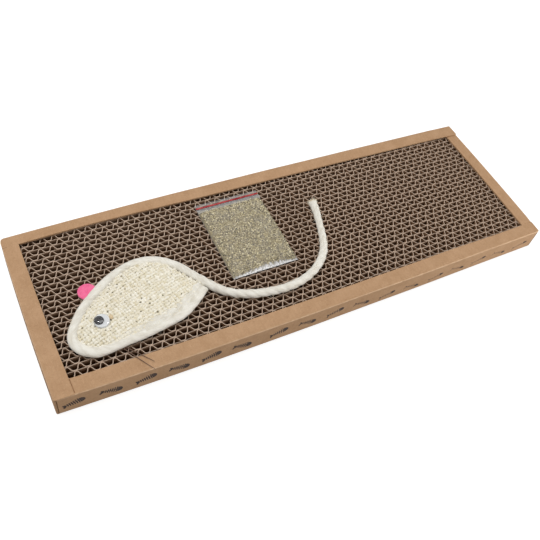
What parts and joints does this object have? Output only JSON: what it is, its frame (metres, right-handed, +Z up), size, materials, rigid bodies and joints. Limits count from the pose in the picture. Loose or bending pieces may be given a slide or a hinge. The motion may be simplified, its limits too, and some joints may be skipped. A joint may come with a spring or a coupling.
{
  "type": "cardboard cat scratcher",
  "caption": "Flat rectangular cat scratcher: folded kraft tray round an upright corrugated core, with a rope-edged sisal mouse and a small catnip sachet lying loose on top.",
  "frame": {"origin": "centre of the tray's footprint, on the surface that it lies on", "axes": "+X along the tray's length, away from the mouse's nose; +Y to the back long side, where the sachet's zip points; +Z up out of the scratching face"},
  "size_m": [0.45, 0.15, 0.0337],
  "materials": {
    "kraft_board": "matt brown kraft board",
    "core_paper": "matt grey-brown fluting paper",
    "grey_card": "matt grey card",
    "sisal_weave": "coarse cream sisal weave",
    "sisal_rope": "soft off-white twisted rope",
    "pink_felt": "bright pink felt",
    "dark_bristle": "dark brown bristle",
    "eye_white": "glossy pale white",
    "eye_black": "glossy black",
    "eye_clear": "clear hard plastic",
    "clear_film": "clear thin film",
    "zip_film": "hazy clear film",
    "dried_leaf": "crumbled dried leaf"
  },
  "bodies": {
    "scratcher": {"kraft_tray": "kraft_board", "core_strip_01": "core_paper", "core_strip_02": "core_paper", "core_strip_03": "core_paper", "core_strip_04": "core_paper", "core_strip_05": "core_paper", "core_strip_06": "core_paper", "core_strip_07": "core_paper", "core_strip_08": "core_paper", "core_strip_09": "core_paper", "core_strip_10": "core_paper", "core_strip_11": "core_paper", "core_strip_12": "core_paper", "core_strip_13": "core_paper", "core_strip_14": "core_paper", "core_strip_15": "core_paper", "core_strip_16": "core_paper", "core_strip_17": "core_paper", "core_strip_18": "core_paper", "core_strip_19": "core_paper", "core_strip_20": "core_paper", "core_strip_21": "core_paper", "core_strip_22": "core_paper", "core_strip_23": "core_paper", "core_strip_24": "core_paper", "core_strip_25": "core_paper", "core_strip_26": "core_paper", "core_strip_27": "core_paper", "core_strip_28": "core_paper"},
    "mouse": {"mouse_back_mat": "sisal_weave", "mouse_front_mat": "sisal_weave", "mouse_stiffener": "grey_card", "mouse_edge_rope": "sisal_rope", "mouse_tail": "sisal_rope", "mouse_ear": "pink_felt", "mouse_whiskers": "dark_bristle", "eye_base": "eye_white", "eye_dome": "eye_clear"},
    "pupil": {"eye_pupil": "eye_black"},
    "sachet": {"sachet_back_film": "clear_film", "sachet_front_film": "clear_film", "sachet_zip_groove": "zip_film", "sachet_zip_rib": "zip_film", "catnip_fill": "dried_leaf"}
  },
  "joints": [
    {"name": "mouse_lift", "type": "slide", "parent": "scratcher", "child": "mouse", "axis": [0, 0, 1], "range_m": [0, 0.1]},
    {"name": "sachet_lift", "type": "slide", "parent": "scratcher", "child": "sachet", "axis": [0, 0, 1], "range_m": [0, 0.1]},
    {"name": "pupil_roll", "type": "hinge", "parent": "mouse", "child": "pupil", "pos_m": [-0.1774, -0.0298, 0.031], "axis": [0, 0, 1], "continuous": true}
  ]
}
